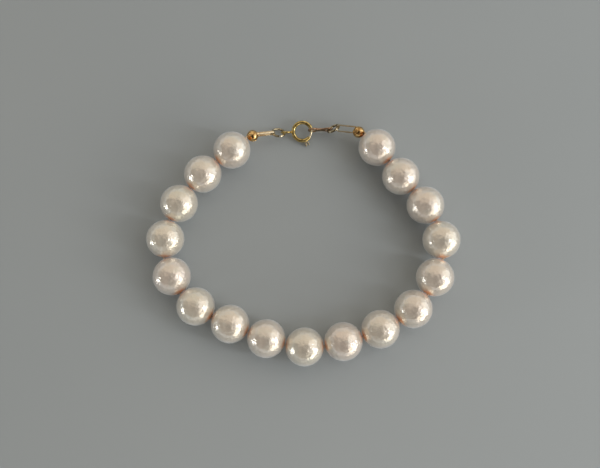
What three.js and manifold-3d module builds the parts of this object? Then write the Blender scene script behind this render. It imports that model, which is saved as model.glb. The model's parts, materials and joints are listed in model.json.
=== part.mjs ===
// Pearl bracelet: seventeen round pearls on one thread, closed by a spring ring and a figure-eight tag.
// Millimetres, +Z up. The bracelet lies on z = 0 with its clasp towards +Y, and its origin is the
// middle of its bounding box, at the bottom.

import * as THREE from "three";
import { mergeVertices } from "three/addons/utils/BufferGeometryUtils.js";
import Module from "manifold-3d";

const wasm = await Module();
wasm.setup();

// ---- Driving dimensions -------------------------------------------------------------------------

const PEARL = { count: 17, diameter: 9.0, pitch: 9.17, bore: 1.0, segments: 18, bands: 9 };

const THREAD = { diameter: 0.4, sides: 8, knot: 1.2 };

// A hollow ball of two hinged cups over the knot, with a flat strip curled into a long loop.
const BEAD_TIP = {
  ball: 2.84,
  wall: 0.2,
  threadHole: 0.76,
  seam: 0.12,
  hinge: 0.42,
  throat: 0.15,
  stripWidth: 0.55,
  stripThick: 0.25,
  loopHeight: 1.3,
  loopOffset: 0.5,
  reach: 5.45,
  stripRoot: 0.7,
  freeEnd: 1.5,
};

const JUMP_RING = { outside: 3.6, wire: 0.6, cut: 0.1, cutAt: 90, sides: 8, steps: 24 };

// Angles go anticlockwise from the tag's side, seen from above. The eye is at 180.
const SPRING_RING = {
  outside: 5.45,
  tube: 0.95,
  bore: 0.66,
  mouthFrom: -42,
  mouthTo: 20,
  slotFrom: -145,
  slotTo: -67,
  slotWidth: 0.4,
  sides: 12,
  steps: 36,
  eyeOutside: 2.8,
  eyeWire: 0.5,
  eyeJoint: 0.1,
};

const TRIGGER = {
  bolt: 0.5,
  boltFrom: -97,
  boltTo: 25,
  boltSteps: 16,
  tabAt: -72,
  stem: 0.3,
  prong: 0.32,
  prongGap: 0.33,
  tabFrom: 2.85,
  tabTo: 3.75,
  tabHeight: 0.5,
};

const TAG = {
  thick: 0.4,
  centres: 3.7,
  bigLobe: 2.6,
  bigHole: 1.6,
  smallLobe: 2.4,
  smallHole: 1.5,
  waist: 2.0,
};

const LINK_GAP = 0.1;

// Where the spring ring lies: its centre, how its eye's line is turned, and how its face leans.
const CLASP = { x: 0.6, y: 25.6, z: 1.42, heading: 3, lean: 105, tagSeat: 7.5 };

// The links each side of the spring ring, going outward. Heading is the way a link points, rise lifts
// its far end, and lean turns its face about its length: 0 faces north, 90 faces up, 180 faces south.
const LEFT_LINKS = [
  { link: "jumpRing", name: "jump_ring_left", heading: 186, rise: 14, lean: 54 },
  { link: "beadTip", name: "bead_tip_left", heading: 191.5, rise: 17, lean: 86 },
];
const RIGHT_LINKS = [
  { link: "tag", name: "tag", heading: 2, rise: 0, lean: 0 },
  { link: "jumpRing", name: "jump_ring_right", heading: -6, rise: 44, lean: 50 },
  { link: "beadTip", name: "bead_tip_right", heading: -8, rise: 6, lean: 35 },
];

// The line that the pearls lie along, from the pearl left of the clasp round to the one right of it.
const LINE_OF_PEARLS = [
  [-16.6, 20.0],
  [-23.5, 14.1],
  [-29.1, 6.8],
  [-32.2, -1.8],
  [-30.5, -10.7],
  [-24.7, -17.9],
  [-16.4, -22.1],
  [0.8, -27.4],
  [18.6, -23.4],
  [26.8, -18.5],
  [32.1, -11.0],
  [33.8, -2.0],
  [30.1, 6.5],
  [24.4, 13.5],
  [18.2, 21.4],
];

// ---- Materials ----------------------------------------------------------------------------------

const nacre = new THREE.MeshStandardMaterial({ color: 0xeee2d9, roughness: 0.2, metalness: 0.1 });
const gold = new THREE.MeshStandardMaterial({ color: 0xd9ab4e, roughness: 0.2, metalness: 1.0 });
const silk = new THREE.MeshStandardMaterial({ color: 0xe6d8c6, roughness: 0.8, metalness: 0.0 });

// ---- Shared geometry ----------------------------------------------------------------------------

const radians = THREE.MathUtils.degToRad;

function toSolid(geometry) {
  const bare = geometry.clone();
  bare.deleteAttribute("normal");
  bare.deleteAttribute("uv");
  const merged = mergeVertices(bare, 1e-5);
  const vertProperties = merged.attributes.position.array;
  const triVerts = Uint32Array.from(merged.index.array);
  return new wasm.Manifold(new wasm.Mesh({ numProp: 3, vertProperties, triVerts }));
}

function toGeometry(solid) {
  const { vertProperties, triVerts } = solid.getMesh();
  const geometry = new THREE.BufferGeometry();
  geometry.setAttribute("position", new THREE.BufferAttribute(vertProperties, 3));
  geometry.setIndex(new THREE.BufferAttribute(triVerts, 1));
  geometry.computeVertexNormals();
  return geometry;
}

// Part of a circle about the origin in the XY plane.
class Arc extends THREE.Curve {
  constructor(radius, fromDeg, toDeg) {
    super();
    this.radius = radius;
    this.from = radians(fromDeg);
    this.to = radians(toDeg);
  }

  getPoint(t, target = new THREE.Vector3()) {
    const angle = THREE.MathUtils.lerp(this.from, this.to, t);
    return target.set(this.radius * Math.cos(angle), this.radius * Math.sin(angle), 0);
  }
}

// Straight lines from point to point, with one step of a sweep for each line.
class Polyline extends THREE.Curve {
  constructor(points) {
    super();
    this.points = points;
  }

  getPoint(t, target = new THREE.Vector3()) {
    const place = t * (this.points.length - 1);
    const line = THREE.MathUtils.clamp(Math.floor(place), 0, this.points.length - 2);
    return target.lerpVectors(this.points[line], this.points[line + 1], place - line);
  }

  getPointAt(u, target) {
    return this.getPoint(u, target);
  }

  getTangentAt(u, target) {
    return this.getTangent(u, target);
  }
}

function circleSection(radius) {
  return new THREE.Shape().absarc(0, 0, radius, 0, 2 * Math.PI, false);
}

// A three.js circle has two sides for each of its curve segments.
function sweep(section, path, steps, sides) {
  return new THREE.ExtrudeGeometry(section, {
    extrudePath: path,
    steps,
    curveSegments: sides / 2,
    bevelEnabled: false,
  });
}

// A plate of the given outline, centred on the XY plane.
function plate(outline, thick, curveSegments) {
  const geometry = new THREE.ExtrudeGeometry(outline, { depth: thick, curveSegments, bevelEnabled: false });
  return geometry.translate(0, 0, -thick / 2);
}

// ---- Pearls -------------------------------------------------------------------------------------

const boreAngle = Math.asin(PEARL.bore / PEARL.diameter);
const bandAngle = (Math.PI - 2 * boreAngle) / PEARL.bands;
const facetDepth = Math.cos(bandAngle / 2) * Math.cos(Math.PI / PEARL.segments);

// The corners stand as far outside the round surface as the middles of the facets lie inside it.
const pearlCorner = PEARL.diameter / 2 / Math.sqrt(facetDepth);
const pearlHeight = pearlCorner * facetDepth;

// A drilled pearl about its bore, the Y axis, with one facet facing straight down.
function pearl() {
  const profile = [];
  for (let i = 0; i <= PEARL.bands; i++) {
    const angle = boreAngle + i * bandAngle;
    profile.push(new THREE.Vector2(pearlCorner * Math.sin(angle), -pearlCorner * Math.cos(angle)));
  }
  profile.push(profile[0].clone());
  return new THREE.LatheGeometry(profile, PEARL.segments, Math.PI / PEARL.segments);
}

// The pearls' centres, one pitch apart in straight lines, walked along the line that they lie on.
function pearlCentres() {
  const points = LINE_OF_PEARLS.map(([x, y]) => new THREE.Vector3(x, y, pearlHeight));
  const line = new THREE.CatmullRomCurve3(points, false, "centripetal");
  const centres = [line.getPoint(0)];
  let reached = 0;
  while (centres.length < PEARL.count) {
    const last = centres.at(-1);
    let near = reached;
    let far = Math.min(1, reached + 2 / PEARL.count);
    for (let halving = 0; halving < 40; halving++) {
      const middle = (near + far) / 2;
      if (line.getPoint(middle).distanceTo(last) < PEARL.pitch) near = middle;
      else far = middle;
    }
    reached = near;
    centres.push(line.getPoint(reached));
  }
  return centres;
}

// Each bore follows the line between the pearls on either side of it.
function boreDirections(centres) {
  return centres.map((centre, i) => {
    const before = centres[Math.max(i - 1, 0)];
    const after = centres[Math.min(i + 1, centres.length - 1)];
    return new THREE.Vector3().subVectors(after, before).normalize();
  });
}

// ---- Thread -------------------------------------------------------------------------------------

// The thread runs straight through each bore, bends between pearls, and ends in a knot in each ball.
function thread(centres, directions, firstTip, lastTip) {
  const throat = new THREE.Vector3(BEAD_TIP.ball / 2 + BEAD_TIP.throat, 0, 0);
  const points = [firstTip.position, firstTip.localToWorld(throat.clone())];
  centres.forEach((centre, i) => {
    points.push(centre.clone().addScaledVector(directions[i], -PEARL.diameter / 2));
    points.push(centre.clone().addScaledVector(directions[i], PEARL.diameter / 2));
  });
  points.push(lastTip.localToWorld(throat.clone()), lastTip.position);
  const path = new Polyline(points);
  const strand = toSolid(sweep(circleSection(THREAD.diameter / 2), path, points.length - 1, THREAD.sides));
  const knots = [firstTip.position, lastTip.position].map(({ x, y, z }) => {
    const knot = new THREE.SphereGeometry(THREAD.knot / 2, 10, 8);
    return toSolid(knot.translate(x, y, z));
  });
  return toGeometry(strand.add(knots[0]).add(knots[1]));
}

// ---- Bead tips ----------------------------------------------------------------------------------

// The strip's outline from the side: out along the top, round the loop's end and back underneath.
function loopOutline() {
  const inner = BEAD_TIP.loopHeight / 2;
  const outer = inner + BEAD_TIP.stripThick;
  const bend = -(BEAD_TIP.reach - inner);
  const outline = new THREE.Shape();
  outline.moveTo(-BEAD_TIP.stripRoot, outer);
  outline.lineTo(bend, outer);
  outline.absarc(bend, 0, outer, Math.PI / 2, -Math.PI / 2, false);
  outline.lineTo(-BEAD_TIP.freeEnd, -outer);
  outline.lineTo(-BEAD_TIP.freeEnd, -inner);
  outline.lineTo(bend, -inner);
  outline.absarc(bend, 0, inner, -Math.PI / 2, Math.PI / 2, true);
  outline.lineTo(-BEAD_TIP.stripRoot, inner);
  return outline;
}

// The ball is about the origin, its thread hole at +X. Its loop is at -X, upright in the XZ plane,
// and the strip leaves the ball near its top.
function beadTip() {
  const radius = BEAD_TIP.ball / 2;
  const outside = toSolid(new THREE.SphereGeometry(radius, 18, 12));
  const inside = toSolid(new THREE.SphereGeometry(radius - BEAD_TIP.wall, 16, 10));
  const holeRadius = BEAD_TIP.threadHole / 2;
  const holeShape = new THREE.CylinderGeometry(holeRadius, holeRadius, radius, 10);
  const hole = toSolid(holeShape.rotateZ(Math.PI / 2).translate(radius, 0, 0));
  const seamLength = 2 * radius - BEAD_TIP.hinge;
  const seamShape = new THREE.BoxGeometry(seamLength, BEAD_TIP.ball + 1, BEAD_TIP.seam);
  const seam = toSolid(seamShape.translate(-BEAD_TIP.hinge / 2, 0, 0));
  const loop = plate(loopOutline(), BEAD_TIP.stripWidth, 8).rotateX(Math.PI / 2);
  const strip = toSolid(loop.translate(0, 0, BEAD_TIP.loopOffset));
  return toGeometry(outside.subtract(inside).subtract(hole).subtract(seam).add(strip));
}

// ---- Jump rings ---------------------------------------------------------------------------------

function jumpRing() {
  const radius = (JUMP_RING.outside - JUMP_RING.wire) / 2;
  const halfCut = THREE.MathUtils.radToDeg(JUMP_RING.cut / 2 / radius);
  const path = new Arc(radius, JUMP_RING.cutAt + halfCut, JUMP_RING.cutAt + 360 - halfCut);
  return sweep(circleSection(JUMP_RING.wire / 2), path, JUMP_RING.steps, JUMP_RING.sides);
}

// ---- Spring ring --------------------------------------------------------------------------------

const ringRadius = (SPRING_RING.outside - SPRING_RING.tube) / 2;
const eyeRadius = (SPRING_RING.eyeOutside - SPRING_RING.eyeWire) / 2;
const eyeCentre = SPRING_RING.outside / 2 - SPRING_RING.eyeJoint + SPRING_RING.eyeOutside / 2;

// A band of the XY plane between two radii and two angles, as a closed outline.
function ringSector(inner, outer, fromDeg, toDeg) {
  const outline = new THREE.Shape();
  outline.absarc(0, 0, outer, radians(fromDeg), radians(toDeg), false);
  outline.absarc(0, 0, inner, radians(toDeg), radians(fromDeg), true);
  return outline;
}

// A tube bent round with a mouth, a slot in its rim for the trigger, and an upright eye soldered on.
function springRing() {
  const section = circleSection(SPRING_RING.tube / 2);
  section.holes.push(circleSection(SPRING_RING.bore / 2));
  const path = new Arc(ringRadius, SPRING_RING.mouthTo, SPRING_RING.mouthFrom + 360);
  const tube = toSolid(sweep(section, path, SPRING_RING.steps, SPRING_RING.sides));
  const beyondRim = ringRadius + SPRING_RING.tube;
  const slotShape = ringSector(ringRadius, beyondRim, SPRING_RING.slotFrom, SPRING_RING.slotTo);
  const slot = toSolid(plate(slotShape, SPRING_RING.slotWidth, 8));
  const eyeShape = new THREE.TorusGeometry(eyeRadius, SPRING_RING.eyeWire / 2, 8, 22);
  const eye = toSolid(eyeShape.rotateX(Math.PI / 2).translate(-eyeCentre, 0, 0));
  return toGeometry(tube.subtract(slot).add(eye));
}

// ---- Trigger ------------------------------------------------------------------------------------

// The bolt slides in the tube. A stem through the slot carries a folded thumb tab of two prongs.
function trigger() {
  const path = new Arc(ringRadius, TRIGGER.boltFrom, TRIGGER.boltTo);
  const bolt = toSolid(sweep(circleSection(TRIGGER.bolt / 2), path, TRIGGER.boltSteps, 8));
  const tabWidth = 2 * TRIGGER.prong + TRIGGER.prongGap;
  const tab = new THREE.Shape();
  tab.moveTo(ringRadius, -TRIGGER.stem / 2);
  tab.lineTo(ringRadius, TRIGGER.stem / 2);
  tab.lineTo(TRIGGER.tabFrom, TRIGGER.stem / 2);
  tab.lineTo(TRIGGER.tabFrom, -TRIGGER.stem / 2);
  const stem = toSolid(plate(tab, TRIGGER.stem, 1));
  const fold = new THREE.Shape();
  fold.moveTo(TRIGGER.tabFrom, -tabWidth / 2);
  fold.lineTo(TRIGGER.tabTo, -tabWidth / 2);
  fold.lineTo(TRIGGER.tabTo, -TRIGGER.prongGap / 2);
  fold.lineTo(TRIGGER.tabFrom + TRIGGER.prong, -TRIGGER.prongGap / 2);
  fold.lineTo(TRIGGER.tabFrom + TRIGGER.prong, TRIGGER.prongGap / 2);
  fold.lineTo(TRIGGER.tabTo, TRIGGER.prongGap / 2);
  fold.lineTo(TRIGGER.tabTo, tabWidth / 2);
  fold.lineTo(TRIGGER.tabFrom, tabWidth / 2);
  const prongs = toSolid(plate(fold, TRIGGER.tabHeight, 1));
  const handle = stem.add(prongs).rotate([0, 0, TRIGGER.tabAt]);
  return toGeometry(bolt.add(handle));
}

// ---- Tag ----------------------------------------------------------------------------------------

// A figure-eight plate: two lobes joined by a waist whose sides are arcs that touch both lobes.
function tag() {
  const big = TAG.bigLobe / 2;
  const small = TAG.smallLobe / 2;
  const toBig = big + TAG.waist;
  const toSmall = small + TAG.waist;
  const waistX = (TAG.centres ** 2 + toBig ** 2 - toSmall ** 2) / (2 * TAG.centres);
  const waistY = Math.sqrt(toBig ** 2 - waistX ** 2);
  const atBig = Math.atan2(waistY, waistX);
  const atSmall = Math.atan2(waistY, waistX - TAG.centres);
  const outline = new THREE.Shape();
  outline.absarc(0, 0, big, atBig, 2 * Math.PI - atBig, false);
  outline.absarc(waistX, -waistY, TAG.waist, Math.PI - atBig, Math.PI - atSmall, true);
  outline.absarc(TAG.centres, 0, small, -atSmall, atSmall, false);
  outline.absarc(waistX, waistY, TAG.waist, atSmall - Math.PI, atBig - Math.PI, true);
  const bigHole = new THREE.Path().absarc(0, 0, TAG.bigHole / 2, 0, 2 * Math.PI, true);
  const smallHole = new THREE.Path().absarc(TAG.centres, 0, TAG.smallHole / 2, 0, 2 * Math.PI, true);
  outline.holes.push(bigHole, smallHole);
  return plate(outline, TAG.thick, 8);
}

// ---- Putting it together ------------------------------------------------------------------------

// How far a link's bearing surfaces are from its own origin, behind it and ahead of it, and how far
// out of its face they lie. Pull is the radius of a round hole that the next link draws straight out
// from the middle of.
const jumpRingHole = JUMP_RING.outside / 2 - JUMP_RING.wire;
const LINKS = {
  jumpRing: { make: jumpRing, back: jumpRingHole, ahead: jumpRingHole, out: 0, pull: 0 },
  tag: { make: tag, back: TAG.bigHole / 2, ahead: TAG.centres, out: 0, pull: TAG.smallHole / 2 },
  beadTip: { make: beadTip, back: BEAD_TIP.reach, ahead: 0, out: BEAD_TIP.loopOffset, pull: 0 },
};

// A rotation whose X axis has the given heading and rise, and whose Z axis has the given lean.
function pointed({ heading, rise = 0, lean }) {
  const level = Math.cos(radians(rise));
  const forward = new THREE.Vector3(
    level * Math.cos(radians(heading)),
    level * Math.sin(radians(heading)),
    Math.sin(radians(rise)),
  );
  const up = new THREE.Vector3(0, 0, 1).addScaledVector(forward, -forward.z).normalize();
  const north = new THREE.Vector3().crossVectors(up, forward).normalize();
  if (north.y < 0) north.negate();
  const face = north.multiplyScalar(Math.cos(radians(lean))).addScaledVector(up, Math.sin(radians(lean)));
  const side = new THREE.Vector3().crossVectors(face, forward);
  return new THREE.Matrix4().makeBasis(forward, side, face);
}

function named(name, geometry, material) {
  const mesh = new THREE.Mesh(geometry, material);
  mesh.name = name;
  return mesh;
}

// Hangs each link on the one before it, from a bearing point outward, and gives back the last one.
function addLinks(parent, bearing, rows) {
  const point = bearing.clone();
  const turns = rows.map(pointed);
  const forwards = turns.map((turn) => new THREE.Vector3(1, 0, 0).transformDirection(turn));
  const faces = turns.map((turn) => new THREE.Vector3(0, 0, 1).transformDirection(turn));
  rows.forEach((row, i) => {
    const { make, back, ahead, out, pull } = LINKS[row.link];
    const mesh = named(row.name, make(), gold);
    mesh.quaternion.setFromRotationMatrix(turns[i]);
    mesh.position.copy(point).addScaledVector(forwards[i], back - LINK_GAP / 2);
    mesh.position.addScaledVector(faces[i], -out);
    parent.add(mesh);
    mesh.updateMatrixWorld();
    point.copy(mesh.position).addScaledVector(forwards[i], ahead - LINK_GAP / 2);
    point.addScaledVector(forwards[i + 1] ?? forwards[i], pull);
  });
  return parent.children.at(-1);
}

function addPearls(parent, centres, directions) {
  const up = new THREE.Vector3(0, 0, 1);
  centres.forEach((centre, i) => {
    const mesh = named(`pearl_${String(i + 1).padStart(2, "0")}`, pearl(), nacre);
    const side = new THREE.Vector3().crossVectors(directions[i], up);
    mesh.quaternion.setFromRotationMatrix(new THREE.Matrix4().makeBasis(side, directions[i], up));
    mesh.position.copy(centre);
    parent.add(mesh);
  });
}

const bracelet = new THREE.Group();

const clasp = new THREE.Group();
clasp.position.set(CLASP.x, CLASP.y, CLASP.z);
clasp.quaternion.setFromRotationMatrix(pointed(CLASP));
clasp.add(named("spring_ring", springRing(), gold), named("clasp_trigger", trigger(), gold));
bracelet.add(clasp);
clasp.updateMatrixWorld();

const eyeBearing = eyeCentre + eyeRadius - SPRING_RING.eyeWire / 2 - LINK_GAP / 2;
const leftBearing = clasp.localToWorld(new THREE.Vector3(-eyeBearing, 0, 0));
const firstTip = addLinks(bracelet, leftBearing, LEFT_LINKS);

const boltBearing = ringRadius - TRIGGER.bolt / 2 - LINK_GAP / 2;
const tagSeat = new Arc(boltBearing, CLASP.tagSeat, CLASP.tagSeat).getPoint(0);
const lastTip = addLinks(bracelet, clasp.localToWorld(tagSeat), RIGHT_LINKS);

const centres = pearlCentres();
const directions = boreDirections(centres);
addPearls(bracelet, centres, directions);
bracelet.add(named("thread", thread(centres, directions, firstTip, lastTip), silk));

// The origin is moved to the middle of the bounding box, at the bottom.
const box = new THREE.Box3().setFromObject(bracelet, true);
const middle = box.getCenter(new THREE.Vector3());
bracelet.position.set(-middle.x, -middle.y, -box.min.z);

export default bracelet;
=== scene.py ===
"""A pearl bracelet: its pearls, thread and gold-plated findings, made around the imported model.

The row frame is in metres with +Z up. Every piece is made in millimetres about its own origin, and
its mesh is set in place and brought to metres at the end.
"""
import json
import math

import bmesh
import bpy
from mathutils import Matrix, Vector


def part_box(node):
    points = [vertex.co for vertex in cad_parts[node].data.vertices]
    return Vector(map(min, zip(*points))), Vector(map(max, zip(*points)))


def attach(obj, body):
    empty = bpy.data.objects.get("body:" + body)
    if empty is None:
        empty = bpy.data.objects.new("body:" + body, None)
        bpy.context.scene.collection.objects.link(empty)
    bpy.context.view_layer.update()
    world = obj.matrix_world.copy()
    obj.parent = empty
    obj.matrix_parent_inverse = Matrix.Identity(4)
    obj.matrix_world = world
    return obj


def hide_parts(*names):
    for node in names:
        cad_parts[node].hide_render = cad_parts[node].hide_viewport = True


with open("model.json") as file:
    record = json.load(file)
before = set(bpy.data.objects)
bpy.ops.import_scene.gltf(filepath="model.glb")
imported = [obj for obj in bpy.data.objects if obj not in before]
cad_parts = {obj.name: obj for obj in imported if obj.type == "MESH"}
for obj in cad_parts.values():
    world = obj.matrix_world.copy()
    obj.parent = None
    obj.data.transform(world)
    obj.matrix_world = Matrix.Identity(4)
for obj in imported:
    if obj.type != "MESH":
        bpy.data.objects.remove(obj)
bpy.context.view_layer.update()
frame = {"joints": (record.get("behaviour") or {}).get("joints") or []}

MM = 0.001
UP = Vector((0, 0, 1))

# ---- Sizes, in millimetres and degrees ----------------------------------------------------------

PEARL = {"count": 17, "diameter": 9.0, "bore": 1.0, "hole_edge": 0.12, "unevenness": 0.02}
THREAD = {"diameter": 0.4, "plies": 3, "lay": 1.1, "knot": 0.3, "throat": 0.15}
BEAD_TIP = {
    "ball": 2.84,
    "wall": 0.2,
    "thread_hole": 0.76,
    "seam": 0.12,
    "knuckle": 0.26,
    "strip_width": 0.55,
    "strip_thick": 0.25,
    "collar": 0.18,
    "collar_gap": 0.06,
    "collar_sink": 0.04,
    "barrel": 0.84,
    # how far beyond the ball the strip's painted reflection fades in
    "strip_reflection_fade": 0.3,
    "loop_height": 1.3,
    "loop_offset": 0.5,
    "reach": 5.45,
    "strip_root": 0.7,
    "free_end": 1.5,
}
JUMP_RING = {"outside": 3.6, "wire": 0.6, "cut": 0.1}
SPRING_RING = {
    "outside": 5.45,
    "tube": 0.95,
    "bore": 0.66,
    "mouth_from": -42,
    "mouth_to": 20,
    "slot_from": -145,
    "slot_to": -67,
    "slot_width": 0.4,
    "eye_outside": 2.8,
    "eye_wire": 0.5,
    "eye_joint": 0.1,
}
TRIGGER = {
    "bolt": 0.5,
    "bolt_from": -97,
    "bolt_to": 25,
    "tab_at": -72,
    "stem": 0.3,
    "prong": 0.32,
    "prong_gap": 0.33,
    "tab_from": 2.85,
    "tab_to": 3.75,
    "tab_height": 0.5,
}
TAG = {
    "thick": 0.4,
    "edge": 0.09,
    "centres": 3.7,
    "big_lobe": 2.6,
    "big_hole": 1.6,
    "small_lobe": 2.4,
    "small_hole": 1.5,
    "waist": 2.0,
}
LINK_GAP = 0.1
TAG_SEAT = 7.5
NARROWEST_END = 0.3

# The links each side of the spring ring, going outward. Heading is the way a link points, rise
# lifts its far end, and lean turns its face about its length: 0 is north, 90 up and 180 south.
LEFT_LINKS = [
    {"link": "jump_ring", "name": "jump_ring_left", "heading": 186, "rise": 14, "lean": 54},
    {"link": "bead_tip", "name": "bead_tip_left", "heading": 191.5, "rise": 17, "lean": 86},
]
RIGHT_LINKS = [
    {"link": "tag", "name": "tag", "heading": 2, "rise": 0, "lean": 0},
    {"link": "jump_ring", "name": "jump_ring_right", "heading": -6, "rise": 44, "lean": 50},
    {"link": "bead_tip", "name": "bead_tip_right", "heading": -8, "rise": 6, "lean": 35},
]

ring_radius = (SPRING_RING["outside"] - SPRING_RING["tube"]) / 2
eye_radius = (SPRING_RING["eye_outside"] - SPRING_RING["eye_wire"]) / 2
eye_centre = SPRING_RING["outside"] / 2 - SPRING_RING["eye_joint"] + SPRING_RING["eye_outside"] / 2


# ---- Node trees ---------------------------------------------------------------------------------


class Socket:
    """A node's output. Arithmetic on it adds Math nodes to its tree."""

    def __init__(self, tree, socket):
        self.tree = tree
        self.socket = socket

    def output(self, name):
        return Socket(self.tree, self.socket.node.outputs[name])

    def math(self, operation, *others):
        return self.tree.math(operation, self, *others)

    def __add__(self, other):
        return self.math("ADD", other)

    def __radd__(self, other):
        return self.tree.math("ADD", other, self)

    def __sub__(self, other):
        return self.math("SUBTRACT", other)

    def __rsub__(self, other):
        return self.tree.math("SUBTRACT", other, self)

    def __mul__(self, other):
        return self.math("MULTIPLY", other)

    def __rmul__(self, other):
        return self.tree.math("MULTIPLY", other, self)

    def __truediv__(self, other):
        return self.math("DIVIDE", other)

    def __rtruediv__(self, other):
        return self.tree.math("DIVIDE", other, self)

    def __pow__(self, other):
        return self.math("POWER", other)


class Tree:
    """Builds a node tree, one node for each call."""

    def __init__(self, tree):
        self.tree = tree

    def node(self, kind, settings=None, values=None):
        node = self.tree.nodes.new(kind)
        for name, setting in (settings or {}).items():
            setattr(node, name, setting)
        for name, value in (values or {}).items():
            if isinstance(value, Socket):
                self.tree.links.new(value.socket, node.inputs[name])
            else:
                node.inputs[name].default_value = value
        shown = [output for output in node.outputs if output.enabled]
        return Socket(self, shown[0]) if shown else node

    def math(self, operation, *values):
        return self.node("ShaderNodeMath", {"operation": operation}, dict(enumerate(values)))

    def smooth_step(self, value, low, high):
        settings = {"interpolation_type": "SMOOTHSTEP"}
        return self.node("ShaderNodeMapRange", settings, {0: value, 1: low, 2: high})

    def mix(self, share, first, second):
        """A blend of two colours."""
        values = {0: share}
        for index, colour in ((6, first), (7, second)):
            values[index] = colour if isinstance(colour, Socket) else (*colour, 1)
        mixed = self.node("ShaderNodeMix", {"data_type": "RGBA"}, values)
        return Socket(self, mixed.socket.node.outputs[2])

    def vector(self, operation, *values):
        return self.node("ShaderNodeVectorMath", {"operation": operation}, dict(enumerate(values)))

    def noise(self, where, scale, detail=2.0, roughness=0.5, distortion=0.0):
        values = {
            "Vector": where,
            "Scale": scale,
            "Detail": detail,
            "Roughness": roughness,
            "Distortion": distortion,
        }
        return self.node("ShaderNodeTexNoise", {}, values)


class Finish(Tree):
    """A material: a Principled shader on its own sockets, and a pattern in millimetres."""

    def __init__(self, name, **constants):
        self.material = bpy.data.materials.new(name)
        self.material.use_nodes = True
        super().__init__(self.material.node_tree)
        self.shader = self.tree.nodes["Principled BSDF"]
        for socket, value in constants.items():
            self.shader.inputs[socket.replace("_", " ")].default_value = value

    def where(self, stretch=(1, 1, 1)):
        """Object coordinates in millimetres, stretched by a factor along each axis."""
        coordinates = self.node("ShaderNodeTexCoord").output("Object")
        scale = Vector(stretch) / MM
        return self.node("ShaderNodeMapping", {}, {"Vector": coordinates, "Scale": scale})

    def attribute(self, name):
        return self.node("ShaderNodeAttribute", {"attribute_name": name}).output("Fac")

    def feed(self, **links):
        for name, value in links.items():
            self.tree.links.new(value.socket, self.shader.inputs[name.replace("_", " ")])
        return self.material

    def bump(self, height, distance, over=None):
        """Relief of a height in millimetres, laid over another relief if one is given."""
        values = {"Height": height, "Distance": distance * MM}
        if over:
            values["Normal"] = over
        return self.node("ShaderNodeBump", {}, values)


class Maker(Tree):
    """A Geometry Nodes tree with named sizes, which ends in Realize Instances and Set Material."""

    def __init__(self, name, **sizes):
        self.group = bpy.data.node_groups.new(name, "GeometryNodeTree")
        self.sizes = sizes
        super().__init__(self.group)
        self.add_socket("Geometry", "NodeSocketGeometry")
        for size, default in sizes.items():
            kind = "NodeSocketInt" if isinstance(default, int) else "NodeSocketFloat"
            self.add_socket(size, kind).default_value = default
        self.add_socket("material", "NodeSocketMaterial")
        self.add_socket("Geometry", "NodeSocketGeometry", in_out="OUTPUT")
        self.inputs = self.node("NodeGroupInput")
        self.geometry = self.inputs.output("Geometry")

    def add_socket(self, name, kind, in_out="INPUT"):
        return self.group.interface.new_socket(name, in_out=in_out, socket_type=kind)

    def size(self, name):
        return self.inputs.output(name)

    def end(self, geometry):
        realized = self.node("GeometryNodeRealizeInstances", {}, {"Geometry": geometry})
        values = {"Geometry": realized, "Material": self.size("material")}
        painted = self.node("GeometryNodeSetMaterial", {}, values)
        self.node("NodeGroupOutput", {}, {"Geometry": painted})
        return self

    def grow(self, source, material, **sizes):
        """Runs the tree on a source mesh and gives back the plain mesh that it makes."""
        holder = temporary(source)
        modifier = holder.modifiers.new(self.group.name, "NODES")
        modifier.node_group = self.group
        chosen = {**self.sizes, **sizes, "material": material}
        for item in self.group.interface.items_tree:
            if item.in_out == "INPUT" and item.name in chosen:
                modifier[item.identifier] = chosen[item.name]
        return taken(holder)


# ---- Meshes -------------------------------------------------------------------------------------


def temporary(mesh):
    holder = bpy.data.objects.new("holder", mesh)
    bpy.context.scene.collection.objects.link(holder)
    return holder


def taken(holder, *others):
    """The holder's finished mesh with no modifiers left. The holder and the others are removed."""
    graph = bpy.context.evaluated_depsgraph_get()
    shape = holder.evaluated_get(graph)
    mesh = bpy.data.meshes.new_from_object(shape, preserve_all_data_layers=True, depsgraph=graph)
    for used in (holder, *others):
        bpy.data.objects.remove(used)
    return mesh


def combined(operation, first, *tools):
    """The first solid joined with, or cut by, each of the tools in turn."""
    for tool in tools:
        holder = temporary(first)
        other = temporary(tool)
        modifier = holder.modifiers.new(operation.lower(), "BOOLEAN")
        modifier.operation = operation
        modifier.object = other
        modifier.solver = "EXACT"
        first = taken(holder, other)
    return first


def from_bmesh(shape):
    bmesh.ops.recalc_face_normals(shape, faces=shape.faces)
    mesh = bpy.data.meshes.new("part")
    shape.to_mesh(mesh)
    shape.free()
    return mesh


def polyline(points, closed=False):
    edges = [(i, i + 1) for i in range(len(points) - 1)]
    if closed:
        edges.append((len(points) - 1, 0))
    mesh = bpy.data.meshes.new("path")
    mesh.from_pydata(points, edges, [])
    return mesh


def arc(radius, from_deg, to_deg, steps, centre=(0, 0)):
    """Points along part of a circle, both ends included."""
    angles = [math.radians(from_deg + (to_deg - from_deg) * i / steps) for i in range(steps + 1)]
    x, y = centre
    return [(x + radius * math.cos(a), y + radius * math.sin(a)) for a in angles]


def woven(rows, across_closed=True, along_closed=True):
    """A skin of four-sided faces over rows of points. Rows and points may close on themselves."""
    shape = bmesh.new()
    grid = [[shape.verts.new(point) for point in row] for row in rows]
    for i in range(len(grid) if along_closed else len(grid) - 1):
        here, there = grid[i], grid[(i + 1) % len(grid)]
        for j in range(len(here) if across_closed else len(here) - 1):
            k = (j + 1) % len(here)
            shape.faces.new((here[j], here[k], there[k], there[j]))
    bmesh.ops.remove_doubles(shape, verts=shape.verts, dist=1e-5)
    return from_bmesh(shape)


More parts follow.
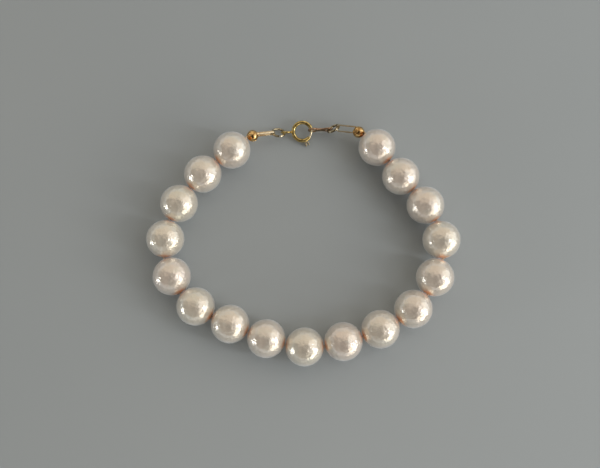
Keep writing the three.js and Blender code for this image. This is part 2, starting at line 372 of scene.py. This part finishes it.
def revolved(profile, segments, closed=True):
    """A (radius, height) outline turned about Z. An open outline starts and ends on the axis."""
    rows = []
    for k in range(segments):
        angle = 2 * math.pi * k / segments
        rows.append([(r * math.cos(angle), r * math.sin(angle), z) for r, z in profile])
    return woven(rows, across_closed=closed)


def prism(outline, thick, edge):
    """A plate of the given outline, centred on the XY plane, with its edges rounded."""
    shape = bmesh.new()
    face = shape.faces.new([shape.verts.new((x, y, -thick / 2)) for x, y in outline])
    raised = bmesh.ops.extrude_face_region(shape, geom=[face])["geom"]
    corners = [item for item in raised if isinstance(item, bmesh.types.BMVert)]
    bmesh.ops.translate(shape, vec=(0, 0, thick), verts=corners)
    if edge:
        rounding = {"offset": edge, "segments": 3, "affect": "EDGES", "profile": 0.5}
        bmesh.ops.bevel(shape, geom=shape.edges[:], **rounding)
    return from_bmesh(shape)


def turned(mesh, matrix):
    mesh.transform(matrix)
    return mesh


def moved(mesh, x=0, y=0, z=0):
    return turned(mesh, Matrix.Translation((x, y, z)))


def spun(mesh, degrees, axis):
    return turned(mesh, Matrix.Rotation(math.radians(degrees), 4, axis))


def sphere(radius, segments=24):
    half = arc(radius, -90, 90, segments // 2)
    return revolved([(max(r, 0), z) for r, z in half], segments, closed=False)


def place(name, mesh, matrix, material, body, slot, nodes, sharp_deg=40):
    """Sets a millimetre mesh in place in the row frame, and makes it a piece of the bracelet."""
    mesh.transform(matrix @ Matrix.Scale(MM, 4))
    mesh.name = name
    mesh.materials.clear()
    mesh.materials.append(material)
    mesh.shade_smooth()
    mesh.set_sharp_from_angle(angle=math.radians(sharp_deg))
    piece = bpy.data.objects.new(name, mesh)
    bpy.context.scene.collection.objects.link(piece)
    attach(piece, body)
    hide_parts(*nodes)
    return piece


# ---- Finishes -----------------------------------------------------------------------------------


def make_nacre():
    """Cream lacquer with a soft mirror, blushing pink on some pearls and green-grey on others, with
    a painted orange reflection and shade round each drill hole, where the pearls meet.
    """
    cream = (0.77, 0.70, 0.60)
    blush = (0.79, 0.685, 0.61)
    moss = (0.69, 0.675, 0.595)
    painted_gap_reflection = (0.86, 0.36, 0.06)
    finish = Finish(
        "nacre",
        IOR=1.55,
        Coat_Roughness=0.08,
        Coat_IOR=1.7,
        Sheen_Weight=0.8,
        Sheen_Roughness=0.4,
        Sheen_Tint=(0.93, 0.97, 1.0, 1),
        Thin_Film_Thickness=420,
        Thin_Film_IOR=1.45,
    )
    where = finish.where()
    tint = finish.attribute("tint")
    clouds = finish.noise(where, 0.33, 3.0, 0.55, 0.4)
    flecks = finish.noise(where, 2.6, 4.0, 0.6)
    body = finish.mix(tint, cream, blush)
    body = finish.mix(finish.smooth_step(clouds, 0.45, 0.75) * 0.6, body, moss)
    body = finish.mix(finish.smooth_step(flecks, 0.5, 0.8) * 0.12, body, (1, 0.96, 0.9))
    # Painted orange reflection and shade round each drill hole, where the pearl meets its
    # neighbour.
    painted_gap_share = 1 - finish.smooth_step(finish.attribute("from_bore"), 0.24, 0.5)
    body = finish.mix(painted_gap_share * 0.9, body, painted_gap_reflection)
    waves = finish.noise(where, 1.1, 2.0, 0.5)
    grain = finish.noise(where, 9.0, 3.0, 0.6)
    skin = finish.bump(grain, 0.003, over=finish.bump(waves, 0.22))
    roughness = 0.14 + 0.08 * clouds + 0.06 * flecks
    metal = 0.48 - 0.12 * clouds
    coat = 0.75 + 0.25 * clouds
    return finish.feed(
        Base_Color=body, Roughness=roughness, Metallic=metal, Coat_Weight=coat, Normal=skin
    )


def make_gold(name, bright, painted_dark_reflection, rough):
    """Gold plate over brass: painted dark reflections in patches, fine scratches and smudges, and a
    painted pale grey reflection along the bead tips' strips.
    """
    finish = Finish(name, Specular_Tint=(1, 0.95, 0.8, 1))
    where = finish.where()
    patches = finish.noise(where, 1.1, 3.0, 0.55, 0.6)
    smudges = finish.noise(where, 2.7, 4.0, 0.6)
    hairlines = finish.noise(finish.where((14, 1.2, 14)), 1.6, 2.0, 0.5, 0.3)
    # Patches of a much darker colour, as painted dark reflections.
    colour = finish.mix(finish.smooth_step(patches, 0.4, 0.68), bright, painted_dark_reflection)
    brown, painted_grey_reflection = (0.45, 0.28, 0.13), (0.66, 0.59, 0.46)
    colour = finish.mix(finish.smooth_step(smudges, 0.58, 0.8) * 0.35, colour, brown)
    # Painted pale grey reflection along the bead tips' strips, away from the balls.
    colour = finish.mix(finish.attribute("painted_strip_reflection") * 0.85, colour, painted_grey_reflection)
    roughness = rough + 0.08 * smudges + 0.06 * finish.smooth_step(hairlines, 0.62, 0.8)
    skin = finish.bump(hairlines, 0.0025, over=finish.bump(patches, 0.02))
    metal = 1 - 0.15 * finish.smooth_step(smudges, 0.62, 0.85)
    return finish.feed(Base_Color=colour, Roughness=roughness, Metallic=metal, Normal=skin)


def make_silk():
    """Cream beading silk: fine fibres along each ply, a little fuzz and soiling."""
    finish = Finish("silk", Specular_IOR_Level=0.3, Sheen_Weight=0.4, Sheen_Roughness=0.4)
    where = finish.where()
    fibres = finish.noise(where, 16.0, 2.0, 0.6, 0.8)
    soil = finish.noise(where, 0.5, 2.0)
    shaded, lit, soiled = (0.60, 0.49, 0.36), (0.84, 0.75, 0.62), (0.5, 0.36, 0.22)
    colour = finish.mix(finish.smooth_step(fibres, 0.35, 0.7), shaded, lit)
    colour = finish.mix(finish.smooth_step(soil, 0.5, 0.8) * 0.3, colour, soiled)
    roughness = 0.6 + 0.25 * fibres
    return finish.feed(Base_Color=colour, Roughness=roughness, Normal=finish.bump(fibres, 0.03))


def make_backdrop():
    finish = Finish("matte_paper", Specular_IOR_Level=0.2)
    mottle = finish.noise(finish.where(), 0.01, 3.0)
    colour = finish.mix(mottle, (0.37, 0.41, 0.44), (0.41, 0.445, 0.47))
    return finish.feed(Base_Color=colour, Roughness=0.75 + 0.15 * mottle)


# ---- Trees that make what repeats or follows a path ---------------------------------------------


def make_string_of_pearls():
    """Drilled pearls on points. The points' own attribute bore says which way each is drilled."""
    sizes = {"diameter": 9.0, "bore": 1.0, "hole_edge": 0.12, "unevenness": 0.01}
    maker = Maker("string_of_pearls", **sizes, arc=60, around=72)
    radius = maker.size("diameter") / 2
    half_hole = (maker.size("bore") / maker.size("diameter")).math("ARCSINE")
    profile = maker.node(
        "GeometryNodeCurveArc",
        {"mode": "RADIUS"},
        {
            "Resolution": maker.size("arc"),
            "Radius": radius,
            "Start Angle": half_hole - math.pi / 2,
            "Sweep Angle": math.pi - 2 * half_hole,
        },
    )
    closed = maker.node("GeometryNodeSetSplineCyclic", {}, {"Geometry": profile, "Cyclic": True})
    ends = maker.node("GeometryNodeCurveEndpointSelection")
    edge = ends * maker.size("hole_edge")
    eased = maker.node(
        "GeometryNodeFilletCurve",
        {"mode": "POLY"},
        {"Curve": closed, "Count": 4, "Radius": edge, "Limit Radius": True},
    )
    axis = maker.node(
        "GeometryNodeCurvePrimitiveCircle", {}, {"Resolution": maker.size("around"), "Radius": 1e-4}
    )
    pearl = maker.node("GeometryNodeCurveToMesh", {}, {"Curve": axis, "Profile Curve": eased})
    position = maker.node("GeometryNodeInputPosition")
    across = maker.vector("MULTIPLY", position, (1, 1, 0))
    from_axis = maker.vector("LENGTH", across).output("Value")
    measured = maker.node(
        "GeometryNodeStoreNamedAttribute",
        {"data_type": "FLOAT", "domain": "POINT"},
        {"Geometry": pearl, "Name": "from_bore", "Value": from_axis / radius},
    )
    bore = maker.node(
        "GeometryNodeInputNamedAttribute", {"data_type": "FLOAT_VECTOR"}, {"Name": "bore"}
    )
    along_bore = maker.node("FunctionNodeAlignRotationToVector", {"axis": "Z"}, {"Vector": bore})
    strung = maker.node(
        "GeometryNodeInstanceOnPoints",
        {},
        {"Points": maker.geometry, "Instance": measured, "Rotation": along_bore},
    )
    chance = maker.node("FunctionNodeRandomValue", {"data_type": "FLOAT"}, {"Seed": 7})
    tinted = maker.node(
        "GeometryNodeStoreNamedAttribute",
        {"data_type": "FLOAT", "domain": "INSTANCE"},
        {"Geometry": strung, "Name": "tint", "Value": chance},
    )
    real = maker.node("GeometryNodeRealizeInstances", {}, {"Geometry": tinted})
    lumps = maker.noise(position, 0.45, 1.0) - 0.5
    lift = scaled(maker, maker.node("GeometryNodeInputNormal"), lumps * maker.size("unevenness"))
    uneven = maker.node("GeometryNodeSetPosition", {}, {"Geometry": real, "Offset": lift})
    return maker.end(uneven)


def make_wire():
    """Round wire along a path. Its ends narrow over the given length."""
    maker = Maker("drawn_wire", wire=0.6, round_end=0.1, sides=24)
    path = maker.node("GeometryNodeMeshToCurve", {}, {"Mesh": maker.geometry})
    along = maker.node("GeometryNodeSplineParameter").output("Length")
    length = maker.node("GeometryNodeSplineLength")
    to_end = along.math("MINIMUM", length - along)
    fall = 1 - (to_end / maker.size("round_end")).math("MINIMUM", 1)
    thickness = (1 - fall * fall).math("SQRT").math("MAXIMUM", NARROWEST_END)
    section = maker.node(
        "GeometryNodeCurvePrimitiveCircle",
        {},
        {"Resolution": maker.size("sides"), "Radius": maker.size("wire") / 2},
    )
    return maker.end(swept(maker, path, section, thickness))


def make_strip():
    """Flat strip with rounded edges along a path, its width level."""
    maker = Maker("flat_strip", width=0.55, thick=0.25, edge=0.06)
    path = maker.node("GeometryNodeMeshToCurve", {}, {"Mesh": maker.geometry})
    section = maker.node(
        "GeometryNodeCurvePrimitiveQuadrilateral",
        {},
        {"Width": maker.size("width"), "Height": maker.size("thick")},
    )
    eased = maker.node(
        "GeometryNodeFilletCurve",
        {"mode": "POLY"},
        {"Curve": section, "Count": 4, "Radius": maker.size("edge"), "Limit Radius": True},
    )
    return maker.end(swept(maker, path, eased))


def make_twist():
    """Thread of several plies twisted along a path."""
    maker = Maker("twisted_thread", diameter=0.4, plies=3, lay=1.1, step=0.11, sides=7)
    path = maker.node("GeometryNodeMeshToCurve", {}, {"Mesh": maker.geometry})
    even = maker.node(
        "GeometryNodeResampleCurve",
        {"mode": "LENGTH"},
        {"Curve": path, "Length": maker.size("step")},
    )
    plies = maker.node(
        "GeometryNodeDuplicateElements",
        {"domain": "SPLINE"},
        {"Geometry": even, "Amount": maker.size("plies")},
    )
    share = plies.output("Duplicate Index") / maker.size("plies")
    turns = maker.node("GeometryNodeSplineParameter").output("Length") / maker.size("lay")
    angle = (turns + share) * (2 * math.pi)
    spread = (1 / maker.size("plies")) * math.pi
    ply = maker.size("diameter") / 2 / (1 + 1 / spread.math("SINE"))
    out = maker.size("diameter") / 2 - ply
    normal = maker.node("GeometryNodeInputNormal")
    side = maker.vector("CROSS_PRODUCT", normal, maker.node("GeometryNodeInputTangent"))
    offset = maker.vector(
        "ADD",
        scaled(maker, normal, out * angle.math("COSINE")),
        scaled(maker, side, out * angle.math("SINE")),
    )
    laid = maker.node("GeometryNodeSetPosition", {}, {"Geometry": plies, "Offset": offset})
    section = maker.node(
        "GeometryNodeCurvePrimitiveCircle", {}, {"Resolution": maker.size("sides"), "Radius": ply}
    )
    return maker.end(swept(maker, laid, section))


def swept(maker, path, section, scale=1.0):
    values = {"Curve": path, "Profile Curve": section, "Scale": scale, "Fill Caps": True}
    return maker.node("GeometryNodeCurveToMesh", {}, values)


def scaled(maker, vector, factor):
    result = maker.vector("SCALE", vector)
    maker.tree.links.new(factor.socket, result.socket.node.inputs["Scale"])
    return result


# ---- Findings, in millimetres about their own origins -------------------------------------------


def jump_ring(wire, gold):
    """Round wire bent to a ring about Z, with its cut at +Y."""
    radius = (JUMP_RING["outside"] - JUMP_RING["wire"]) / 2
    half_cut = math.degrees(JUMP_RING["cut"] / 2 / radius)
    path = [(x, y, 0) for x, y in arc(radius, 90 + half_cut, 450 - half_cut, 120)]
    return wire.grow(polyline(path), gold, wire=JUMP_RING["wire"], round_end=0.12)


def ring_tube():
    """The spring ring's bent tube, with rounded lips at both sides of its mouth."""
    steps, sides = 120, 36
    half_wall = (SPRING_RING["tube"] - SPRING_RING["bore"]) / 4
    middle = (SPRING_RING["tube"] + SPRING_RING["bore"]) / 4
    lip = math.degrees(half_wall / ring_radius)
    first = SPRING_RING["mouth_to"] + lip
    last = SPRING_RING["mouth_from"] + 360 - lip
    angles = [first + (last - first) * i / steps for i in range(steps + 1)]
    stations = [(angle, middle + half_wall) for angle in angles]
    for i in range(1, 8):
        theta = math.pi * i / 8
        stations.append((last + lip * math.sin(theta), middle + half_wall * math.cos(theta)))
    stations += [(angle, middle - half_wall) for angle in reversed(angles)]
    for i in range(1, 8):
        theta = math.pi * i / 8
        stations.append((first - lip * math.sin(theta), middle - half_wall * math.cos(theta)))
    rows = []
    for angle, size in stations:
        a = math.radians(angle)
        row = []
        for k in range(sides):
            phi = 2 * math.pi * k / sides
            out = ring_radius + size * math.cos(phi)
            row.append((out * math.cos(a), out * math.sin(a), size * math.sin(phi)))
        rows.append(row)
    return woven(rows)


def spring_ring(wire, gold):
    """The tube with a slot in its rim for the trigger, and an upright eye soldered on."""
    beyond = ring_radius + SPRING_RING["tube"]
    ends = SPRING_RING["slot_from"], SPRING_RING["slot_to"]
    outline = arc(beyond, *ends, 24) + arc(ring_radius, *reversed(ends), 24)
    slot = prism(outline, SPRING_RING["slot_width"], 0)
    tube = combined("DIFFERENCE", ring_tube(), slot)
    loop = [(x, y, 0) for x, y in arc(eye_radius, 0, 360, 72)[:-1]]
    eye = wire.grow(polyline(loop, closed=True), gold, wire=SPRING_RING["eye_wire"], round_end=1e-6)
    eye = moved(spun(eye, 90, "X"), x=-eye_centre)
    solder = sphere(0.3)
    solder.transform(Matrix.Diagonal((0.7, 1.15, 1.0, 1)))
    solder = moved(solder, x=-SPRING_RING["outside"] / 2)
    return combined("UNION", tube, eye, solder)


def trigger(wire, gold):
    """The bolt that slides in the tube, and a folded thumb tab of two prongs on a stem."""
    steps = 110
    path = [(x, y, 0) for x, y in arc(ring_radius, TRIGGER["bolt_from"], TRIGGER["bolt_to"], steps)]
    bolt = wire.grow(polyline(path), gold, wire=TRIGGER["bolt"], round_end=TRIGGER["bolt"] / 2)
    half = TRIGGER["stem"] / 2
    near, far = TRIGGER["tab_from"], TRIGGER["tab_to"]
    length = near + 0.1 - ring_radius
    stem = moved(
        prism([(0, -half), (length, -half), (length, half), (0, half)], TRIGGER["stem"], 0.04),
        x=ring_radius,
    )
    gap = TRIGGER["prong_gap"] / 2
    wide = gap + TRIGGER["prong"]
    fold = near + TRIGGER["prong"]
    outline = [
        (near, -wide),
        (far, -wide),
        (far, -gap),
        (fold, -gap),
        (fold, gap),
        (far, gap),
        (far, wide),
        (near, wide),
    ]
    prongs = prism(outline, TRIGGER["tab_height"], 0.07)
    handle = spun(combined("UNION", stem, prongs), TRIGGER["tab_at"], "Z")
    return combined("UNION", bolt, handle)


def tag_outline():
    """Two round lobes joined by a waist whose sides are arcs that touch both lobes."""
    big, small = TAG["big_lobe"] / 2, TAG["small_lobe"] / 2
    to_big, to_small = big + TAG["waist"], small + TAG["waist"]
    x = (TAG["centres"] ** 2 + to_big**2 - to_small**2) / (2 * TAG["centres"])
    y = math.sqrt(to_big**2 - x**2)
    at_big = math.degrees(math.atan2(y, x))
    at_small = math.degrees(math.atan2(y, x - TAG["centres"]))
    points = arc(big, at_big, 360 - at_big, 64)
    points += arc(TAG["waist"], 180 - at_big, 180 - at_small, 16, (x, -y))[1:]
    points += arc(small, -at_small, at_small, 56, (TAG["centres"], 0))[1:]
    points += arc(TAG["waist"], at_small - 180, at_big - 180, 16, (x, y))[1:-1]
    return points


def tag():
    """A figure-eight plate, its stamped edges rounded over."""
    outlines = [
        tag_outline(),
        arc(TAG["big_hole"] / 2, 360, 0, 48)[:-1],
        arc(TAG["small_hole"] / 2, 360, 0, 48, (TAG["centres"], 0))[:-1],
    ]
    curve = bpy.data.curves.new("tag", "CURVE")
    curve.dimensions = "2D"
    curve.fill_mode = "BOTH"
    curve.extrude = TAG["thick"] / 2 - TAG["edge"]
    curve.bevel_depth = TAG["edge"]
    curve.offset = -TAG["edge"]
    curve.bevel_resolution = 3
    for outline in outlines:
        spline = curve.splines.new("POLY")
        spline.points.add(len(outline) - 1)
        spline.use_cyclic_u = True
        for point, (x, y) in zip(spline.points, outline):
            point.co = (x, y, 0, 1)
    shape = bmesh.new()
    shape.from_mesh(taken(temporary(curve)))
    bmesh.ops.remove_doubles(shape, verts=shape.verts, dist=1e-4)
    return from_bmesh(shape)


def cup():
    """Half of a bead tip's ball: a thin shell with a rolled rim, above the seam."""
    outer = BEAD_TIP["ball"] / 2
    half_wall = BEAD_TIP["wall"] / 2
    middle = outer - half_wall
    rise = math.degrees(math.asin((BEAD_TIP["seam"] / 2 + half_wall) / middle))
    rim_centre = (middle * math.cos(math.radians(rise)), middle * math.sin(math.radians(rise)))
    inside = arc(middle - half_wall, 90, rise, 24)
    rim = arc(half_wall, rise + 180, rise + 360, 10, rim_centre)
    outside = arc(outer, rise, 90, 28)
    profile = [(max(r, 0), z) for r, z in inside + rim[1:-1] + outside]
    return revolved(profile, 56, closed=False)


def bead_tip(strip, gold):
    """Two cups closed over the knot, and a flat strip curled into a loop. Thread hole at +X."""
    outer = BEAD_TIP["ball"] / 2
    inner_bend = BEAD_TIP["loop_height"] / 2
    middle = inner_bend + BEAD_TIP["strip_thick"] / 2
    bend = -(BEAD_TIP["reach"] - inner_bend)
    curl = arc(middle, 90, 270, 32, (bend, 0))
    side_view = [(-BEAD_TIP["strip_root"], middle), *curl, (-BEAD_TIP["free_end"], -middle)]
    path = [(x, 0, z + BEAD_TIP["loop_offset"]) for x, z in side_view]
    loop = strip.grow(
        polyline(path), gold, width=BEAD_TIP["strip_width"], thick=BEAD_TIP["strip_thick"]
    )
    hole = BEAD_TIP["thread_hole"] / 2
    rim = arc(BEAD_TIP["collar"] / 2, 0, 360, 12)[:-1]
    collar = revolved([(hole + BEAD_TIP["collar_gap"] + r, z) for r, z in rim], 32)
    collar = spun(collar, 90, "Y")
    collar = moved(collar, x=math.sqrt(outer**2 - hole**2) - BEAD_TIP["collar_sink"])
    pin, half = BEAD_TIP["knuckle"] / 2, BEAD_TIP["barrel"] / 2
    barrel = [(0, -half), (pin, -half), (pin, half), (0, half)]
    knuckle = spun(revolved(barrel, 20, closed=False), 90, "X")
    knuckle = moved(knuckle, x=-outer + pin * 0.8)
    bit = spun(revolved([(0, 0), (hole, 0), (hole, outer), (0, outer)], 28, closed=False), 90, "Y")
    bit = moved(bit, x=outer / 2)
    lower = spun(cup(), 180, "X")
    ball = combined("DIFFERENCE", combined("UNION", cup(), collar, knuckle), bit)
    lower = combined("DIFFERENCE", lower, bit)
    whole = combined("UNION", ball, lower, loop)
    # The strip, from just outside the ball, is marked for a painted pale grey reflection.
    painted_strip_reflection = whole.attributes.new("painted_strip_reflection", "FLOAT", "POINT")
    for vertex, mark in zip(whole.vertices, painted_strip_reflection.data):
        mark.value = min(max((vertex.co.length - outer) / BEAD_TIP["strip_reflection_fade"], 0), 1)
    return whole


# ---- How the links hang -------------------------------------------------------------------------


def basis(forward, face, origin):
    side = face.cross(forward)
    return Matrix.Translation(origin) @ Matrix((forward, side, face)).transposed().to_4x4()


def pointed(row):
    """A link's directions forward and out of its face."""
    heading, rise, lean = (math.radians(row[key]) for key in ("heading", "rise", "lean"))
    level = math.cos(rise)
    forward = Vector((level * math.cos(heading), level * math.sin(heading), math.sin(rise)))
    up = (UP - forward * forward.z).normalized()
    north = up.cross(forward).normalized()
    if north.y < 0:
        north.negate()
    return forward, north * math.cos(lean) + up * math.sin(lean)


def hung(bearing, rows):
    """Where each link lies, each hanging on the one before it, from a bearing point outward."""
    hole = JUMP_RING["outside"] / 2 - JUMP_RING["wire"]
    reaches = {
        "jump_ring": (hole, hole, 0, 0),
        "tag": (TAG["big_hole"] / 2, TAG["centres"], 0, TAG["small_hole"] / 2),
        "bead_tip": (BEAD_TIP["reach"], 0, BEAD_TIP["loop_offset"], 0),
    }
    point = bearing.copy()
    turns = [pointed(row) for row in rows]
    places = {}
    for i, row in enumerate(rows):
        back, ahead, out, pull = reaches[row["link"]]
        forward, face = turns[i]
        origin = point + (forward * (back - LINK_GAP / 2) - face * out) * MM
        places[row["name"]] = basis(forward, face, origin)
        following = turns[i + 1][0] if i + 1 < len(rows) else forward
        point = origin + forward * (ahead - LINK_GAP / 2) * MM + following * pull * MM
    return places


def clasp_place():
    """The spring ring lies about its trigger's own hinge, with the eye's line level."""
    joint = frame["joints"][0]
    face = -Vector(joint["axis"]).normalized()
    return basis(UP.cross(face).normalized(), face, Vector(joint["pos_m"]))


def link_places(clasp):
    eye_bearing = eye_centre + eye_radius - SPRING_RING["eye_wire"] / 2 - LINK_GAP / 2
    left = clasp @ (Vector((-eye_bearing, 0, 0)) * MM)
    seat = ring_radius - TRIGGER["bolt"] / 2 - LINK_GAP / 2
    angle = math.radians(TAG_SEAT)
    right = clasp @ (Vector((seat * math.cos(angle), seat * math.sin(angle), 0)) * MM)
    return {**hung(left, LEFT_LINKS), **hung(right, RIGHT_LINKS)}


# ---- The string of pearls and its thread --------------------------------------------------------


def pearl_nodes():
    return [f"pearl_{i:02d}" for i in range(1, PEARL["count"] + 1)]


def pearl_centres():
    corners = [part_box(node) for node in pearl_nodes()]
    return [(low + high) / 2 / MM for low, high in corners]


def bore_directions(centres):
    """Each bore follows the line between the pearls on either side of it."""
    last = len(centres) - 1
    return [
        (centres[min(i + 1, last)] - centres[max(i - 1, 0)]).normalized() for i in range(last + 1)
    ]


def strung_pearls(centres, directions, nacre):
    points = bpy.data.meshes.new("pearl_points")
    points.from_pydata([tuple(centre) for centre in centres], [], [])
    bore = points.attributes.new("bore", "FLOAT_VECTOR", "POINT")
    for value, direction in zip(bore.data, directions):
        value.vector = direction
    return make_string_of_pearls().grow(
        points,
        nacre,
        diameter=PEARL["diameter"],
        bore=PEARL["bore"],
        hole_edge=PEARL["hole_edge"],
        unevenness=PEARL["unevenness"],
    )


def knot(tip):
    """An overhand knot in the middle of a bead tip's ball, drawn towards the thread hole."""
    points = []
    for i in range(41):
        t = 2 * math.pi * (i / 40) * 0.94
        across = (math.sin(t) + 2 * math.sin(2 * t), math.cos(t) - 2 * math.cos(2 * t))
        points.append(Vector((math.sin(3 * t), *across)) * (THREAD["knot"] / 3))
    return [tip @ (point * MM) / MM for point in points]


def thread(centres, directions, first_tip, last_tip, silk):
    """Through the bores with a bend between pearls, and a knot at each end inside a ball."""
    half = PEARL["diameter"] / 2
    throat = Vector((BEAD_TIP["ball"] / 2 + THREAD["throat"], 0, 0)) * MM
    points = [*knot(first_tip), first_tip @ throat / MM]
    for centre, direction in zip(centres, directions):
        points += [centre - direction * half, centre + direction * half]
    points += [last_tip @ throat / MM, *reversed(knot(last_tip))]
    path = polyline([tuple(point) for point in points])
    return make_twist().grow(
        path, silk, diameter=THREAD["diameter"], plies=THREAD["plies"], lay=THREAD["lay"]
    )


# ---- The bracelet -------------------------------------------------------------------------------


def make_bracelet():
    nacre = make_nacre()
    silk = make_silk()
    # Each gold gets its plate colour, a second colour for its painted reflection patches, and a
    # roughness.
    bright_gold = make_gold("gold_plate", (0.80, 0.62, 0.26), (0.27, 0.18, 0.05), 0.01)
    warm_gold = make_gold("warm_gold_plate", (0.82, 0.55, 0.24), (0.34, 0.18, 0.06), 0.03)
    dull_gold = make_gold("dull_gold_plate", (0.42, 0.28, 0.18), (0.14, 0.06, 0.03), 0.10)
    worn_gold = make_gold("worn_gold_plate", (0.62, 0.54, 0.38), (0.12, 0.09, 0.05), 0.01)
    # The trigger's gold is painted pale: partly its own paler metal, partly a painted highlight.
    pale_gold = make_gold("pale_highlit_gold_plate", (0.97, 0.87, 0.66), (0.93, 0.75, 0.44), 0.06)

    wire = make_wire()
    strip = make_strip()
    clasp = clasp_place()
    places = link_places(clasp)
    on_bracelet = {"body": "bracelet", "slot": "gold_plate"}

    ring = spring_ring(wire, bright_gold)
    place("spring_ring_shell", ring, clasp, bright_gold, nodes=["spring_ring"], **on_bracelet)
    bolt = trigger(wire, pale_gold)
    place("trigger_bolt", bolt, clasp, pale_gold, "trigger", "gold_plate", ["clasp_trigger"])
    place("tag_plate", tag(), places["tag"], dull_gold, nodes=["tag"], **on_bracelet)
    for side in ("left", "right"):
        node = f"jump_ring_{side}"
        link = jump_ring(wire, worn_gold)
        place(f"{node}_wire", link, places[node], worn_gold, nodes=[node], **on_bracelet)
        node = f"bead_tip_{side}"
        link = bead_tip(strip, warm_gold)
        place(f"{node}_clamshell", link, places[node], warm_gold, nodes=[node], **on_bracelet)

    centres = pearl_centres()
    directions = bore_directions(centres)
    pearls = strung_pearls(centres, directions, nacre)
    here = Matrix.Identity(4)
    place("pearls", pearls, here, nacre, "bracelet", "pearl", pearl_nodes(), sharp_deg=180)
    tips = places["bead_tip_left"], places["bead_tip_right"]
    string = thread(centres, directions, *tips, silk)
    place("silk_thread", string, here, silk, "bracelet", "thread", ["thread"], sharp_deg=80)


# ---- The stage ----------------------------------------------------------------------------------


def make_floor():
    """A pale sheet just under the pearls."""
    size = 3.0
    lowest = (PEARL["diameter"] + PEARL["unevenness"]) / 2 * MM
    height = (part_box("pearl_01")[1].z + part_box("pearl_01")[0].z) / 2 - lowest
    mesh = bpy.data.meshes.new("floor")
    corners = [(x * size, y * size, height) for x, y in ((-1, -1), (1, -1), (1, 1), (-1, 1))]
    mesh.from_pydata(corners, [], [(0, 1, 2, 3)])
    mesh.materials.append(make_backdrop())
    floor = bpy.data.objects.new("floor", mesh)
    bpy.context.scene.collection.objects.link(floor)


def aimed(name, data, origin, target):
    item = bpy.data.objects.new(name, data)
    item.location = origin
    item.rotation_euler = (target - origin).to_track_quat("-Z", "Y").to_euler()
    bpy.context.scene.collection.objects.link(item)
    return item


def make_camera():
    """Above the bracelet and a little to the south of it, looking almost straight down."""
    tilt = math.radians(9)
    target = Vector((-0.00081, 0.00185, 0))
    distance = 0.18
    back = Vector((0, -math.sin(tilt), math.cos(tilt)))
    data = bpy.data.cameras.new("camera")
    data.sensor_width = 36
    data.lens = 43.98
    data.clip_start = 0.01
    camera = aimed("camera", data, target + back * distance, target)
    bpy.context.scene.camera = camera


def make_window(name, heading, elevation, distance, width, height, power, colour):
    """A soft rectangular light. Heading is where it stands, anticlockwise from +X."""
    h, e = math.radians(heading), math.radians(elevation)
    way = Vector((math.cos(e) * math.cos(h), math.cos(e) * math.sin(h), math.sin(e)))
    data = bpy.data.lights.new(name, "AREA")
    data.shape = "RECTANGLE"
    data.size = width
    data.size_y = height
    data.energy = power
    data.color = colour
    aimed(name, data, way * distance, Vector((0, 0, 0)))


def make_lights():
    make_window("window", -4, 29, 0.6, 0.8, 0.84, 1.75, (0.95, 0.98, 1.0))
    make_window("open_pane", -16, 30, 0.59, 0.06, 0.26, 0.5, (1.0, 1.0, 1.0))
    make_window("warm_window", -42, 8, 0.7, 0.66, 0.4, 2.2, (1.0, 0.93, 0.80))
    make_window("far_window", 198, 5, 0.8, 0.12, 0.16, 0.95, (0.95, 0.98, 1.0))


def make_world():
    """A room: pale low walls, a beige ceiling, a doorway and a dark shade above the bracelet."""
    world = bpy.data.worlds.new("room")
    bpy.context.scene.world = world
    world.use_nodes = True
    sky = Tree(world.node_tree)
    way = sky.node("ShaderNodeSeparateXYZ", {}, {0: sky.node("ShaderNodeTexCoord")})
    x, y, z = (way.output(axis) for axis in "XYZ")
    low_wall, open_way, dark = (0.70, 0.74, 0.78), (0.75, 0.71, 0.64), (0.02, 0.015, 0.012)
    dim_ceiling, lit_ceiling = (0.26, 0.235, 0.20), (0.76, 0.68, 0.56)
    overhead = sky.mix(sky.smooth_step(y + 0.12 * x, 0.16, 0.34), dim_ceiling, lit_ceiling)
    room = sky.mix(sky.smooth_step(z, 0.12, 0.36), low_wall, overhead)
    from_doorway = ((x + 0.52) / 0.09) ** 2 + ((y - 0.05) / 0.2) ** 2
    doorway = (1 - sky.smooth_step(from_doorway, 0.4, 1.4)) * sky.smooth_step(z, 0.3, 0.5)
    room = sky.mix(doorway * 0.8, room, open_way)
    from_shade = ((x + 0.04) / 0.3) ** 2 + ((y + 0.42) / 0.5) ** 2
    shade = (1 - sky.smooth_step(from_shade, 0.5, 1.2)) * sky.smooth_step(z, 0.08, 0.3)
    room = sky.mix(shade * 0.92, room, dark)
    background = world.node_tree.nodes["Background"]
    world.node_tree.links.new(room.socket, background.inputs["Color"])
    background.inputs["Strength"].default_value = 1.0


make_camera()
make_bracelet()
make_floor()
make_lights()
make_world()
bpy.context.scene.view_settings.view_transform = "Standard"
